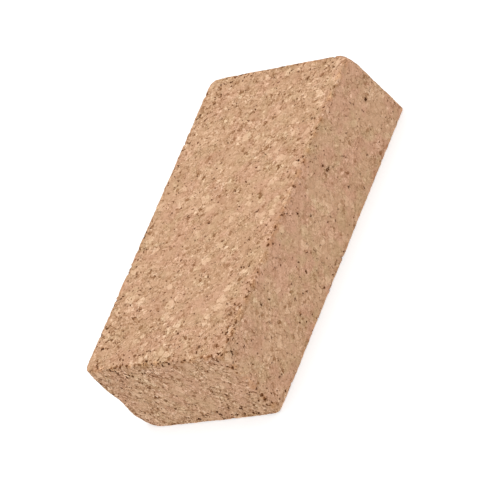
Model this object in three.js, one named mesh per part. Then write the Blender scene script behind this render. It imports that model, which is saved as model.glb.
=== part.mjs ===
// A cork sanding block: one solid block of pressed cork granules, cut square and lightly eased.
// Millimetres, +Z up. The origin is at the centre of the lower broad face, with the length along Y.
import * as THREE from "three";

// Driving dimensions
const LENGTH = 120; // along Y
const WIDTH = 60; // along X
const THICKNESS = 30; // along Z, between the two broad faces
const CORNER_RADIUS = 2; // rounding of the four upright corners
const EDGE_RADIUS = 0.6; // easing of the long edges round both broad faces

// How finely the roundings are faceted
const CORNER_SEGMENTS = 6;
const EDGE_SEGMENTS = 4;

// The block seen from above: a rectangle whose corners are quarter circles.
function blockOutline() {
  const x = WIDTH / 2 - CORNER_RADIUS;
  const y = LENGTH / 2 - CORNER_RADIUS;
  const quarter = Math.PI / 2;
  const corners = [
    [x, -y, -quarter],
    [x, y, 0],
    [-x, y, quarter],
    [-x, -y, 2 * quarter],
  ];
  const outline = new THREE.Shape();
  for (const [cx, cy, start] of corners) {
    outline.absarc(cx, cy, CORNER_RADIUS, start, start + quarter, false);
  }
  outline.closePath();
  return outline;
}

// The outline raised to the block's thickness. The bevel is cut inwards, so the outline stays
// the block's widest section and both broad faces stay flat.
function blockGeometry() {
  const geometry = new THREE.ExtrudeGeometry(blockOutline(), {
    depth: THICKNESS - 2 * EDGE_RADIUS,
    curveSegments: CORNER_SEGMENTS,
    bevelEnabled: true,
    bevelThickness: EDGE_RADIUS,
    bevelSize: EDGE_RADIUS,
    bevelOffset: -EDGE_RADIUS,
    bevelSegments: EDGE_SEGMENTS,
  });
  geometry.translate(0, 0, EDGE_RADIUS);
  return geometry;
}

// Light tan cork, dry and matt.
function corkMaterial() {
  return new THREE.MeshStandardMaterial({ color: 0xcca280, roughness: 0.92, metalness: 0 });
}

// The one piece that the object is made of.
function corkBlock() {
  const block = new THREE.Mesh(blockGeometry(), corkMaterial());
  block.name = "cork_block";
  return block;
}

const sandingBlock = new THREE.Group();
sandingBlock.add(corkBlock());

export default sandingBlock;
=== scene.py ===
"""A cork sanding block: one piece of pressed cork granules, built round its CAD frame.

The block's shape is a fine mesh with eased edges, worn corners and real relief: granules that stand
a little low, crevices, specks and pits, and chips along the edges. The same pattern makes the relief
and the colours, so specks in the mesh are also dark spots in the material, and pits, crevices and
chips are painted darker as painted shade. Lines that the bump raises are painted paler, as a painted
highlight.
The scene is in metres. The block's mesh and pattern are worked out in millimetres.
"""

import math

import bpy
import numpy as np
from mathutils import Matrix, Vector


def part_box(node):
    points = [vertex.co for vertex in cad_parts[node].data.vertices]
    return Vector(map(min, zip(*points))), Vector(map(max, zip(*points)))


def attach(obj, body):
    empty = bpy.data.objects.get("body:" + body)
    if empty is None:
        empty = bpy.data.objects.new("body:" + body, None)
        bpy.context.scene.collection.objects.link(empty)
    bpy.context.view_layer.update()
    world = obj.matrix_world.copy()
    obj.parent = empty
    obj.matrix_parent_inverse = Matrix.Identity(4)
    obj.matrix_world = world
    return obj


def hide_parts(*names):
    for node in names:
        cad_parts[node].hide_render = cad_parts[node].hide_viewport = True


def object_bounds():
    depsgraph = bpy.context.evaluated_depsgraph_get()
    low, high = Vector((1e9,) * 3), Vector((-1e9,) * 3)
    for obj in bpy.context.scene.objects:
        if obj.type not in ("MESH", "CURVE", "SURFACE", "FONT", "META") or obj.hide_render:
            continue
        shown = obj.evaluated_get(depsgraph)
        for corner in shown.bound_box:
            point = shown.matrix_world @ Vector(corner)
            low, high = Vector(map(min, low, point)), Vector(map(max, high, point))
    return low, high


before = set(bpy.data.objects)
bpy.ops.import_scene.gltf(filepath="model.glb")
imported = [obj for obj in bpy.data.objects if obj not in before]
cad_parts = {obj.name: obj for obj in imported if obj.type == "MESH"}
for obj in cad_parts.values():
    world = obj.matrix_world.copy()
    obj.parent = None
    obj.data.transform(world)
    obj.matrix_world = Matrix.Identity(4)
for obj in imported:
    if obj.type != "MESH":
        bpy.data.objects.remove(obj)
CAD_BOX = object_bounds()

MM = 0.001

# The block's shape, in millimetres. Its size comes from the CAD node.
CORNER_RADIUS = 2.0  # the four upright corners
EDGE_RADIUS = 0.6  # the edges round both broad faces
MESH_STEP = 0.4  # one square of the mesh
CUT_BACK = {  # corner, by its side in X, Y and Z: how far the end is out of square there
    (-1, -1, -1): 0.45,
    (-1, -1, 1): 1.7,
    (1, -1, 1): 0.45,
    (-1, 1, 1): 1.45,
    (1, 1, 1): 1.6,
    (-1, 1, -1): 0.25,
}
RUBBED = [  # place in half sizes from the centre, how deep it is rubbed away, and its reach
    ((-1, -1, -1), 2.5, 5.3),
    ((-1, -1, -0.2), 1.1, 6.0),
    ((-1, -1, 1), 1.1, 2.0),
    ((1, 1, 1), 1.55, 2.9),
    ((1, -1, -1), 0.25, 5.0),
    ((1, -1, 1), 0.4, 4.0),
    ((-1, 1, 1), 0.65, 3.1),
    ((-1, 1, -1), 0.8, 5.0),
]

# The cork, in millimetres
GRANULE = 2.8  # across a typical granule
CRUMB = 1.2  # across the small granules between them
GRIT = 0.7  # across the finest grains
FUZZ = 0.45  # across the roughness on them
ZONE = 7.0  # across a stretch of finer or coarser cork
SEAM_WIDTH = 0.16  # from a granule's border inwards
CRUMB_SEAM_WIDTH = 0.14
ELSEWHERE, FURTHER = (37.0, 11.0, 5.0), (50.0, 0.0, 0.0)  # steps to other parts of the pattern
SAW_DIRECTION = (0.0, -0.49, 0.87)  # across the saw marks on the long sides

# The share of the granules and crumbs that differ from the rest
WHOLE_GRANULES = 0.38  # with fewer crumbs on them
PALE_GRANULES = 0.09
PALE_CRUMBS = 0.10
DARK_CRUMBS = 0.06

# How coarse the cork looks, where 1 is as coarse as the patterns are
COARSENESS = (0.64, 1.32, 0.88)  # of the long sides, the ends and the broad faces
NEAR_COARSENESS, FAR_COARSENESS = 0.38, 0.17  # how much coarser the sides get towards each end

# How far each feature of the relief stands out, in millimetres
LOWEST_GRANULE, HIGHEST_GRANULE = -0.12, -0.02
BUMPS = 0.05  # either way
SWELL_DEPTH = -0.08
RAGGED_DEPTH = -0.08
SEAM_DEPTH = -0.05
CREVICE_DEPTH = -0.15
SPECK_DEPTH = -0.25
PIT_DEPTH = -0.35
CHIP_DEPTH = -0.34

# How far each feature is from the plain cork's colour, in steps of an 8-bit colour
GRANULE_SHADE = 5
PALE_GRANULE = 21
PALE_RIM = -28
CRUMB_SHADE = 7
PALE_CRUMB = 26
DARK_CRUMB = -46
GRIT_SHADE = 17
FUZZ_SHADE = 30
STRIPE_SHADE = 5
SAW_SHADE = 5
ZONE_SHADE = 3
# a painted highlight along the lines that the bump raises
LINE_PAINTED_HIGHLIGHT = 20
CRUMB_SEAM = -16
# dark seam lines, darkened partly as painted shade in the grooves that the bump sinks them into
DARK_LINE_AND_PAINTED_SHADE = -38
# painted shade in the crevices
CREVICE_PAINTED_SHADE = -40
SPECK = -98
# painted shade in the pits
PIT_PAINTED_SHADE = -95
# painted shade in the chips along the edges
CHIP_PAINTED_SHADE = -85
WORN_EDGE = -7
DARKEST, PALEST = -130, 40
CORK_TONES = [  # shade and colour
    (DARKEST, (68, 34, 12)),
    (-95, (102, 60, 28)),
    (-65, (137, 92, 55)),
    (-40, (165, 121, 84)),
    (-20, (187, 144, 109)),
    (0, (206, 164, 130)),
    (20, (226, 186, 151)),
    (PALEST, (243, 208, 174)),
]
PINK = (1.0, 0.93, 0.975)  # tints of some stretches of the cork, which its colour is multiplied by
OLIVE = (0.94, 0.98, 0.93)
RUST = (0.97, 0.89, 0.78)


# ---------------------------------------------------------------------------------------------
# Node trees


class Graph:
    """Adds nodes to a shader or geometry tree. An input is another node's output or a plain value."""

    def __init__(self, tree):
        self.tree = tree

    def node(self, kind, inputs=None, **settings):
        made = self.tree.nodes.new(kind)
        for name, value in settings.items():
            setattr(made, name, value)
        for name, value in (inputs or {}).items():
            self.feed(made.inputs[name], value)
        return made

    def feed(self, socket, value):
        if isinstance(value, bpy.types.NodeSocket):
            self.tree.links.new(value, socket)
        else:
            socket.default_value = value

    def math(self, operation, a, b=0.0):
        return self.node("ShaderNodeMath", {0: a, 1: b}, operation=operation).outputs[0]

    def vector(self, operation, a, b):
        return self.node("ShaderNodeVectorMath", {0: a, 1: b}, operation=operation).outputs[0]

    def scaled(self, vector, factor):
        inputs = {0: vector, "Scale": factor}
        return self.node("ShaderNodeVectorMath", inputs, operation="SCALE").outputs[0]

    def split(self, vector):
        return self.node("ShaderNodeSeparateXYZ", {0: vector}).outputs

    def ramp(self, value, low, high, to_low=0.0, to_high=1.0, smooth=True):
        """value taken from the range low to high into the range to_low to to_high, and held there."""
        return self.node(
            "ShaderNodeMapRange",
            {"Value": value, "From Min": low, "From Max": high, "To Min": to_low, "To Max": to_high},
            interpolation_type="SMOOTHSTEP" if smooth else "LINEAR",
        ).outputs["Result"]

    def either_way(self, value, reach, low=0.0, high=1.0):
        """value taken from the range low to high into the range -reach to reach."""
        return self.ramp(value, low, high, -reach, reach, smooth=False)

    def noise(self, place, size, detail=2.0, roughness=0.5, output="Fac"):
        return self.node(
            "ShaderNodeTexNoise",
            {"Vector": place, "Scale": 1 / size, "Detail": detail, "Roughness": roughness},
        ).outputs[output]

    def stripes(self, place, direction, scale):
        """A noise that changes along direction only."""
        along = self.node("ShaderNodeVectorMath", {0: place, 1: direction}, operation="DOT_PRODUCT")
        inputs = {"W": along.outputs["Value"], "Scale": scale}
        return self.node("ShaderNodeTexNoise", inputs, noise_dimensions="1D").outputs["Fac"]

    def cells(self, place, size, feature="F1"):
        inputs = {"Vector": place, "Scale": 1 / size}
        return self.node("ShaderNodeTexVoronoi", inputs, feature=feature)

    def total(self, *parts):
        summed = parts[0]
        for part in parts[1:]:
            summed = self.math("ADD", summed, part)
        return summed

    def product(self, *parts):
        multiplied = parts[0]
        for part in parts[1:]:
            multiplied = self.math("MULTIPLY", multiplied, part)
        return multiplied

    def tinted(self, colour, tint, share):
        """colour, multiplied by tint as far as share says."""
        made = self.node("ShaderNodeMix", data_type="RGBA", blend_type="MULTIPLY")
        colour_inputs = [socket for socket in made.inputs if socket.type == "RGBA"]
        self.feed(made.inputs[0], share)
        self.feed(colour_inputs[0], colour)
        self.feed(colour_inputs[1], (*tint, 1.0))
        return next(socket for socket in made.outputs if socket.type == "RGBA")


# ---------------------------------------------------------------------------------------------
# The cork's pattern, the same in the relief and in the material


def centred(graph, colour):
    """Three values from 0 to 1, as a vector from -0.5 to 0.5."""
    return graph.vector("SUBTRACT", colour, (0.5, 0.5, 0.5))


def warped(graph, place, size, reach):
    """place, pushed about by up to reach, so that cells get uneven outlines."""
    push = centred(graph, graph.noise(place, size, 1.0, output="Color"))
    return graph.vector("ADD", place, graph.scaled(push, 2 * reach))


def granules(graph, place, size):
    """Each granule's own three random numbers, and how many mm a point is from its border."""
    place = warped(graph, place, size * 0.6, size * 0.3)
    own = graph.split(graph.cells(place, size).outputs["Color"])
    border = graph.cells(place, size, "DISTANCE_TO_EDGE").outputs["Distance"]
    return own, graph.math("MULTIPLY", border, size)


def chosen(graph, own, share, blur=0.01):
    """1 in this share of the granules, by one of their random numbers, and 0 in the rest."""
    return graph.ramp(own, 1 - share, 1 - share + blur)


def spots(graph, place, spacing, share, radius):
    """1 inside scattered spots and 0 outside. share of the cells hold one, of up to that radius."""
    found = graph.cells(warped(graph, place, spacing * 0.3, spacing * 0.12), spacing)
    own = graph.split(found.outputs["Color"])
    reach = graph.ramp(own[0], 1 - share, 1.0, 0.0, radius / spacing, smooth=False)
    nearness = graph.math("SUBTRACT", reach, found.outputs["Distance"])
    return graph.ramp(nearness, 0.0, 0.25 * radius / spacing)


def lines(graph, place, size, width):
    """1 along thin wandering lines, and 0 where a noise is further than width from its middle."""
    level = graph.noise(place, size, 1.0)
    away = graph.math("ABSOLUTE", graph.math("SUBTRACT", level, 0.5))
    return graph.ramp(away, 0.0, width, 1.0, 0.0)


def patches(graph, place, size, low, high):
    """0 where a noise of this size is below low, and 1 where it is above high."""
    return graph.ramp(graph.noise(place, size), low, high)


class Cork:
    """The features of the cork at a point. Each is 0 where it is absent and 1 where it is full."""

    def __init__(self, graph, place, edge_distance, coarseness):
        elsewhere = graph.vector("ADD", place, ELSEWHERE)
        crowd = graph.noise(place, ZONE)
        loose = graph.product(graph.ramp(crowd, 0.36, 0.62, 0.6, 1.0), coarseness)
        self.add_granules(graph, place, loose)
        self.add_lines(graph, place, elsewhere, loose)
        self.add_holes(graph, place, elsewhere, edge_distance, coarseness)
        self.add_edge_wear(graph, place, elsewhere, edge_distance)

    def add_granules(self, graph, place, loose):
        """Granules and crumbs, by their own random numbers, and how far crumbs show on them."""
        self.own, border = granules(graph, place, GRANULE)
        self.crumb, crumb_border = granules(graph, place, CRUMB)
        whole = chosen(graph, self.own[1], WHOLE_GRANULES, blur=0.02)
        self.pale = chosen(graph, self.own[2], PALE_GRANULES)
        self.crumbly = graph.product(
            loose, graph.ramp(whole, 0.0, 1.0, 1.1, 0.55), graph.ramp(self.pale, 0.0, 1.0, 1.0, 0.6)
        )
        self.seam = graph.ramp(border, 0.0, SEAM_WIDTH, 1.0, 0.0)
        self.crumb_seam = graph.ramp(crumb_border, 0.0, CRUMB_SEAM_WIDTH, 1.0, 0.0)

    def add_lines(self, graph, place, elsewhere, loose):
        self.crevice = graph.product(self.seam, patches(graph, place, 2.4, 0.5, 0.6), loose)
        self.dark_line = graph.product(
            lines(graph, place, 1.3, 0.05), patches(graph, elsewhere, 1.5, 0.5, 0.58), loose
        )
        # lines that the bump raises. The colour paints them paler, as a painted highlight
        self.ridge_and_highlight = graph.product(
            lines(graph, elsewhere, 1.1, 0.06), patches(graph, place, 1.7, 0.5, 0.58), loose
        )

    def add_holes(self, graph, place, elsewhere, edge_distance, coarseness):
        """Specks, which are fewer on the long sides and away from the edges, and larger pits."""
        darkest = graph.total(
            graph.noise(elsewhere, 1.1, 1.0),
            graph.ramp(coarseness, 0.75, 0.93, -0.045, 0.0),
            graph.ramp(edge_distance, 3.0, 13.0, 0.025, -0.032),
        )
        crowded = patches(graph, elsewhere, 5.0, 0.35, 0.6)
        self.speck = graph.product(graph.ramp(darkest, 0.645, 0.71), crowded)
        self.pit = graph.ramp(graph.noise(place, 1.7, 3.0, 0.6), 0.668, 0.69)

    def add_edge_wear(self, graph, place, elsewhere, edge_distance):
        near_edge = graph.ramp(edge_distance, 0.5, 1.8, 1.0, 0.0)
        broken = patches(graph, elsewhere, 4.0, 0.35, 0.5)
        self.chip = graph.product(spots(graph, place, 1.4, 0.8, 0.85), near_edge, broken)
        at_edge = graph.ramp(edge_distance, 0.1, 0.7, 1.0, 0.0)
        self.worn_edge = graph.product(at_edge, patches(graph, place, 1.6, 0.44, 0.54))


# ---------------------------------------------------------------------------------------------
# The block's mesh


def block_size():
    low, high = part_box("cork_block")
    return np.array(high - low) / MM


def lattice(size):
    """The sides of a plain block cut into squares: points, squares, and each square's side."""
    steps = np.round(size / MESH_STEP).astype(int)
    squares, sides = [], []
    for axis in range(3):
        across, along = (axis + 1) % 3, (axis + 2) % 3
        u, v = np.meshgrid(np.arange(steps[across]), np.arange(steps[along]), indexing="ij")
        u, v = u.ravel(), v.ravel()
        for end in (0, 1):
            turn = [(0, 0), (1, 0), (1, 1), (0, 1)]
            if end == 0:
                turn.reverse()
            corners = np.zeros((len(u), 4, 3), int)
            for i, (du, dv) in enumerate(turn):
                corners[:, i, across] = u + du
                corners[:, i, along] = v + dv
                corners[:, i, axis] = end * steps[axis]
            squares.append(corners)
            sides.append(np.full(len(u), 2 * axis + end))
    every_corner = np.concatenate(squares).reshape(-1, 3)
    points, index = np.unique(every_corner, axis=0, return_inverse=True)
    plain = (points / steps - 0.5) * size
    return plain, index.reshape(-1, 4), np.concatenate(sides)


def round_corners(plain, half):
    """Bends the plain block's upright corners into quarter circles."""
    bent = plain.copy()
    start = half[:2] - CORNER_RADIUS
    past = (np.abs(plain[:, :2]) - start) / CORNER_RADIUS
    corner = (past > 0).all(1)
    u, v = past[corner].T
    disc = np.stack([u * np.sqrt(1 - v * v / 2), v * np.sqrt(1 - u * u / 2)], 1)
    bent[corner, :2] = np.sign(plain[corner, :2]) * (start + disc * CORNER_RADIUS)
    return bent


def ease_edges(bent, half):
    """Rounds the edges round both broad faces. Returns the points and their outward directions."""
    start = half[:2] - CORNER_RADIUS
    core = np.clip(bent, -(half - EDGE_RADIUS), half - EDGE_RADIUS)
    past = np.abs(bent[:, :2]) - start
    corner = (past > 0).all(1)
    reach = np.linalg.norm(past[corner], axis=1)
    shrink = np.minimum(1, (CORNER_RADIUS - EDGE_RADIUS) / np.maximum(reach, 1e-9))
    core[corner, :2] = np.sign(bent[corner, :2]) * (start + past[corner] * shrink[:, None])
    outward = bent - core
    outward /= np.linalg.norm(outward, axis=1)[:, None]
    return core + EDGE_RADIUS * outward, outward


def cut_ends(points, half):
    """Sets the two ends a little out of square."""
    cut = points.copy()
    for corner, depth in CUT_BACK.items():
        share = np.clip((1 + points / half * corner) / 2, 0, 1).prod(1)
        cut[:, 1] -= corner[1] * depth * share
    return cut


def rub(points, half):
    """Rubs corners and edges away where the block is worn, straight inwards."""
    worn = points.copy()
    for place, depth, reach in RUBBED:
        outward = np.round(np.array(place, float))
        outward /= np.linalg.norm(outward)
        near = np.exp(-((np.linalg.norm(points - place * half, axis=1) / reach) ** 2))
        worn -= depth * near[:, None] * outward
    return worn


def edge_distances(plain, half):
    """How far each point of the plain block is from the nearest of its edges."""
    return np.sort(half - np.abs(plain), axis=1)[:, 1]


def coarseness_at(plain, outward, half):
    """How coarse the cork looks at each point, by the way it faces and its place along the block."""
    along = plain[:, 1] / half[1]
    growth = 1 + np.where(along < 0, NEAR_COARSENESS, FAR_COARSENESS) * along**2
    faces = COARSENESS * np.stack([growth, np.ones_like(growth), growth], 1)
    return (outward**2 * faces).sum(1)


def block_uv(plain, squares, sides, size):
    """A flat layout of the six sides in one unit square, with nothing overlapping."""
    gap = 1.5
    x, y, z = size
    origins = {  # side: the two directions it is laid out along, and its lowest corner on the sheet
        4: (1, 0, 0, 0),
        0: (1, 2, 0, x + gap),
        1: (1, 2, 0, x + z + 2 * gap),
        5: (0, 1, y + gap, 0),
        2: (0, 2, 0, x + 2 * z + 3 * gap),
        3: (0, 2, x + gap, x + 2 * z + 3 * gap),
    }
    sheet = np.array([y + x + gap, x + 3 * z + 3 * gap])
    uv = np.zeros((*squares.shape, 2))
    for side, (across, up, left, bottom) in origins.items():
        mine = sides == side
        at = plain[squares[mine]] + size / 2
        uv[mine, :, 0] = left + at[:, :, across]
        uv[mine, :, 1] = bottom + at[:, :, up]
    return (uv + gap / 2) / (sheet + gap)


def block_mesh():
    size = block_size()
    half = size / 2
    plain, squares, sides = lattice(size)
    points, outward = ease_edges(round_corners(plain, half), half)
    points = rub(cut_ends(points, half), half)
    centre = (CAD_BOX[0] + CAD_BOX[1]) / 2
    mesh = bpy.data.meshes.new("cork_body")
    mesh.from_pydata((points * MM + np.array(centre)).tolist(), [], squares.tolist())
    mesh.shade_smooth()
    attributes = {
        "edge_distance": edge_distances(plain, half),
        "coarseness": coarseness_at(plain, outward, half),
    }
    for name, values in attributes.items():
        attribute = mesh.attributes.new(name, "FLOAT", "POINT")
        attribute.data.foreach_set("value", values.astype(np.float32))
    uv = mesh.uv_layers.new(name="OFBake")
    uv.data.foreach_set("uv", block_uv(plain, squares, sides, size).astype(np.float32).ravel())
    return mesh


# ---------------------------------------------------------------------------------------------
# Relief


def relief_height(graph, place, edge_distance, coarseness):
    """How far the surface stands out at a point, in millimetres. It is never above 0."""
    cork = Cork(graph, place, edge_distance, coarseness)
    swell = graph.noise(place, 16.0, 1.0)
    at_edge = graph.ramp(edge_distance, 0.0, 1.4, 1.0, 0.0)
    ragged = graph.product(at_edge, graph.ramp(graph.noise(place, 1.8), 0.4, 0.6, 1.0, 0.0))
    height = graph.total(
        graph.ramp(cork.own[1], 0.0, 1.0, LOWEST_GRANULE, HIGHEST_GRANULE, smooth=False),
        graph.either_way(graph.noise(place, 1.2), BUMPS, 0.25, 0.75),
        graph.ramp(swell, 0.25, 0.75, SWELL_DEPTH, 0.0, smooth=False),
        graph.product(ragged, RAGGED_DEPTH),
        graph.product(cork.seam, SEAM_DEPTH),
        graph.product(cork.crevice, CREVICE_DEPTH),
        graph.product(cork.speck, SPECK_DEPTH),
        graph.product(cork.pit, PIT_DEPTH),
        graph.product(cork.chip, CHIP_DEPTH),
    )
    return graph.math("MINIMUM", height, 0.0)


def relief_tree():
    """Geometry nodes that keep each point's smooth place as an attribute, then push the point in."""
    tree = bpy.data.node_groups.new("cork_relief", "GeometryNodeTree")
    tree.interface.new_socket("Geometry", in_out="INPUT", socket_type="NodeSocketGeometry")
    tree.interface.new_socket("Geometry", in_out="OUTPUT", socket_type="NodeSocketGeometry")
    graph = Graph(tree)
    start = graph.node("NodeGroupInput")
    place = graph.scaled(graph.node("GeometryNodeInputPosition").outputs[0], 1 / MM)
    kept = graph.node(
        "GeometryNodeStoreNamedAttribute",
        {"Geometry": start.outputs[0], "Name": "smooth_place", "Value": place},
        data_type="FLOAT_VECTOR",
        domain="POINT",
    )
    edge_distance, coarseness = (
        graph.node("GeometryNodeInputNamedAttribute", {"Name": name}, data_type="FLOAT").outputs[0]
        for name in ("edge_distance", "coarseness")
    )
    height = relief_height(graph, place, edge_distance, coarseness)
    normal = graph.node("GeometryNodeInputNormal").outputs[0]
    moved = graph.node(
        "GeometryNodeSetPosition",
        {"Geometry": kept.outputs[0], "Offset": graph.scaled(graph.scaled(normal, height), MM)},
    )
    graph.node("NodeGroupOutput", {0: moved.outputs[0]})
    return tree


# ---------------------------------------------------------------------------------------------
# Materials


def srgb(red, green, blue):
    """A colour from its usual 0 to 255 values."""
    channels = [c / 255 for c in (red, green, blue)]
    return tuple(
        c / 12.92 if c <= 0.04045 else ((c + 0.055) / 1.055) ** 2.4 for c in channels
    ) + (1.0,)


def toned(graph, shade):
    """The cork's colour at this shade."""
    fac = graph.ramp(shade, DARKEST, PALEST, smooth=False)
    made = graph.node("ShaderNodeValToRGB", {"Fac": fac})
    stops = made.color_ramp.elements
    while len(stops) < len(CORK_TONES):
        stops.new(0.5)
    for stop, (level, colour) in zip(stops, CORK_TONES):
        stop.position = (level - DARKEST) / (PALEST - DARKEST)
        stop.color = srgb(*colour)
    return made.outputs["Color"]


def cork_shade(graph, place, cork, fuzz, coarseness):
    """How pale or dark the cork is at a point, in steps of an 8-bit colour, painted shade and
    highlight included.
    """
    grit, _ = granules(graph, place, GRIT)
    fine = graph.total(
        graph.either_way(cork.crumb[0], CRUMB_SHADE),
        graph.either_way(grit[0], GRIT_SHADE),
        graph.either_way(fuzz, FUZZ_SHADE, 0.25, 0.75),
        graph.product(cork.crumb_seam, CRUMB_SEAM),
        graph.product(chosen(graph, cork.crumb[1], PALE_CRUMBS), PALE_CRUMB),
        graph.product(chosen(graph, cork.crumb[2], DARK_CRUMBS), DARK_CRUMB),
    )
    grain_direction = centred(graph, graph.cells(place, GRANULE).outputs["Color"])
    broad = graph.total(
        graph.either_way(cork.own[0], GRANULE_SHADE),
        graph.product(cork.pale, PALE_GRANULE),
        graph.either_way(graph.stripes(place, grain_direction, 3.0), STRIPE_SHADE),
    )
    # The broad faces are the most mottled. The long sides are less coarse, and the ends coarser.
    mottling = graph.product(
        graph.ramp(coarseness, 0.75, 1.1, 0.6, 1.0), graph.ramp(coarseness, 1.15, 1.3, 1.0, 0.6)
    )
    saw_marks = graph.either_way(graph.stripes(place, SAW_DIRECTION, 0.8), SAW_SHADE, 0.25, 0.75)
    return graph.total(
        graph.product(fine, cork.crumbly),
        graph.product(broad, mottling),
        graph.either_way(graph.noise(place, 15.0), ZONE_SHADE, 0.25, 0.75),
        graph.product(saw_marks, graph.ramp(coarseness, 0.7, 0.88, 1.0, 0.0)),
        # painted highlight along the raised lines
        graph.product(cork.ridge_and_highlight, LINE_PAINTED_HIGHLIGHT),
        # dark seam lines, partly painted shade in their grooves
        graph.product(cork.dark_line, DARK_LINE_AND_PAINTED_SHADE),
        # painted shade in the crevices
        graph.product(cork.crevice, CREVICE_PAINTED_SHADE),
        graph.product(cork.seam, cork.pale, PALE_RIM),
        graph.product(cork.speck, SPECK),
        # painted shade in the pits
        graph.product(cork.pit, PIT_PAINTED_SHADE),
        # painted shade in the chips along the edges
        graph.product(cork.chip, CHIP_PAINTED_SHADE),
        graph.product(cork.worn_edge, WORN_EDGE),
    )


def tinted_cork(graph, colour, place, cork, edge_distance, coarseness):
    """The cork's colour with its pink and olive stretches, and rust along the edges."""
    strength = graph.ramp(coarseness, 0.6, 0.95, 1.0, 0.6)
    further = graph.vector("ADD", place, FURTHER)
    pink = graph.product(
        patches(graph, place, 8.0, 0.47, 0.6), strength, graph.ramp(cork.pale, 0.0, 1.0, 1.0, 0.5)
    )
    olive = graph.product(patches(graph, further, 6.0, 0.5, 0.62), strength)
    rust = graph.product(
        graph.ramp(edge_distance, 0.3, 2.4, 1.0, 0.0), patches(graph, place, 3.0, 0.45, 0.6)
    )
    for tint, share in ((PINK, pink), (OLIVE, olive), (RUST, rust)):
        colour = graph.tinted(colour, tint, share)
    return colour


def cork_material():
    material = bpy.data.materials.new("cork")
    material.use_nodes = True
    tree = material.node_tree
    tree.nodes.clear()
    graph = Graph(tree)
    place = graph.node("ShaderNodeAttribute", attribute_name="smooth_place").outputs["Vector"]
    edge_distance, coarseness = (
        graph.node("ShaderNodeAttribute", attribute_name=name).outputs["Fac"]
        for name in ("edge_distance", "coarseness")
    )
    cork = Cork(graph, place, edge_distance, coarseness)
    fuzz = graph.noise(place, FUZZ, 2.0, 0.6)
    colour = toned(graph, cork_shade(graph, place, cork, fuzz, coarseness))
    colour = tinted_cork(graph, colour, place, cork, edge_distance, coarseness)
    rough = graph.ramp(fuzz, 0.2, 0.8, 0.95, 0.8, smooth=False)
    height = graph.total(
        fuzz, graph.product(cork.seam, -0.5), graph.product(cork.dark_line, -0.8), cork.ridge_and_highlight
    )
    bump = graph.node(
        "ShaderNodeBump", {"Height": height, "Strength": 0.7, "Distance": 0.2 * MM}
    )
    surface = graph.node(
        "ShaderNodeBsdfPrincipled",
        {
            "Base Color": colour,
            "Roughness": rough,
            "Specular IOR Level": 0.2,
            "Normal": bump.outputs[0],
        },
    )
    graph.node("ShaderNodeOutputMaterial", {"Surface": surface.outputs[0]})
    return material


def floor_material():
    """Grey that glows a little, like a light table. It shows white and takes hardly a shadow."""
    material = bpy.data.materials.new("floor")
    material.use_nodes = True
    shader = material.node_tree.nodes["Principled BSDF"]
    shader.inputs["Base Color"].default_value = (0.55, 0.55, 0.55, 1)
    shader.inputs["Roughness"].default_value = 0.9
    shader.inputs["Specular IOR Level"].default_value = 0.1
    shader.inputs["Emission Color"].default_value = (1, 1, 1, 1)
    shader.inputs["Emission Strength"].default_value = 0.6
    return material


# ---------------------------------------------------------------------------------------------
# The scene


def add_block():
    block = bpy.data.objects.new("cork_body", block_mesh())
    bpy.context.scene.collection.objects.link(block)
    block.data.materials.append(cork_material())
    relief = block.modifiers.new("relief", "NODES")
    relief.node_group = relief_tree()
    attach(block, "root")
    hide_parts("cork_block")


def add_floor():
    """A wide round floor. Its rim turns up, so that a low camera sees floor all the way up."""
    sides = 64
    rings = [(2.0, 0.0), (2.6, 0.02), (2.9, 0.08), (3.0, 0.2)]  # radius and height
    turns = [2 * math.pi * i / sides for i in range(sides)]
    points = [
        (radius * math.cos(turn), radius * math.sin(turn), CAD_BOX[0].z + height)
        for radius, height in rings
        for turn in turns
    ]
    faces = [tuple(range(sides))]
    for inner in range(0, sides * (len(rings) - 1), sides):
        for i in range(sides):
            after = (i + 1) % sides
            faces.append((inner + i, inner + sides + i, inner + sides + after, inner + after))
    mesh = bpy.data.meshes.new("floor")
    mesh.from_pydata(points, [], faces)
    mesh.materials.append(floor_material())
    floor = bpy.data.objects.new("floor", mesh)
    bpy.context.scene.collection.objects.link(floor)


def from_angles(azimuth, elevation):
    """The direction of a place seen at this azimuth and elevation. Azimuth 0 looks along +Y."""
    a, e = math.radians(azimuth), math.radians(elevation)
    return Vector((math.sin(a) * math.cos(e), -math.cos(a) * math.cos(e), math.sin(e)))


def add_camera():
    azimuth, elevation, roll = 53.5, 33.05, 45.25
    distance = 1.258
    aside, above = 1.4 * MM, -3.3 * MM  # the aim, to the right of and above the block's centre
    data = bpy.data.cameras.new("camera")
    data.sensor_width = 36.0
    data.lens = 288.0
    camera = bpy.data.objects.new("camera", data)
    bpy.context.scene.collection.objects.link(camera)
    outward = from_angles(azimuth, elevation)
    turn = outward.to_track_quat("Z", "Y").to_matrix() @ Matrix.Rotation(-math.radians(roll), 3, "Z")
    centre = (CAD_BOX[0] + CAD_BOX[1]) / 2
    aim = centre + turn @ Vector((aside, above, 0))
    camera.matrix_world = Matrix.Translation(aim + outward * distance) @ turn.to_4x4()
    bpy.context.scene.camera = camera


def add_lamp(name, azimuth, elevation, distance, size, power):
    data = bpy.data.lights.new(name, "AREA")
    data.shape = "DISK"
    data.size = size
    data.energy = power
    lamp = bpy.data.objects.new(name, data)
    bpy.context.scene.collection.objects.link(lamp)
    outward = from_angles(azimuth, elevation)
    lamp.location = outward * distance
    lamp.rotation_euler = outward.to_track_quat("Z", "Y").to_euler()


def add_light():
    world = bpy.data.worlds.new("studio")
    world.use_nodes = True
    world.node_tree.nodes["Background"].inputs["Color"].default_value = (0.975, 0.985, 1, 1)
    world.node_tree.nodes["Background"].inputs["Strength"].default_value = 0.67
    bpy.context.scene.world = world
    add_lamp("key", azimuth=-125, elevation=80, distance=1.2, size=0.8, power=7.4)


def settle_colours():
    settings = bpy.context.scene.view_settings
    settings.view_transform = "Standard"
    settings.look = "None"


add_camera()
add_block()
add_floor()
add_light()
settle_colours()
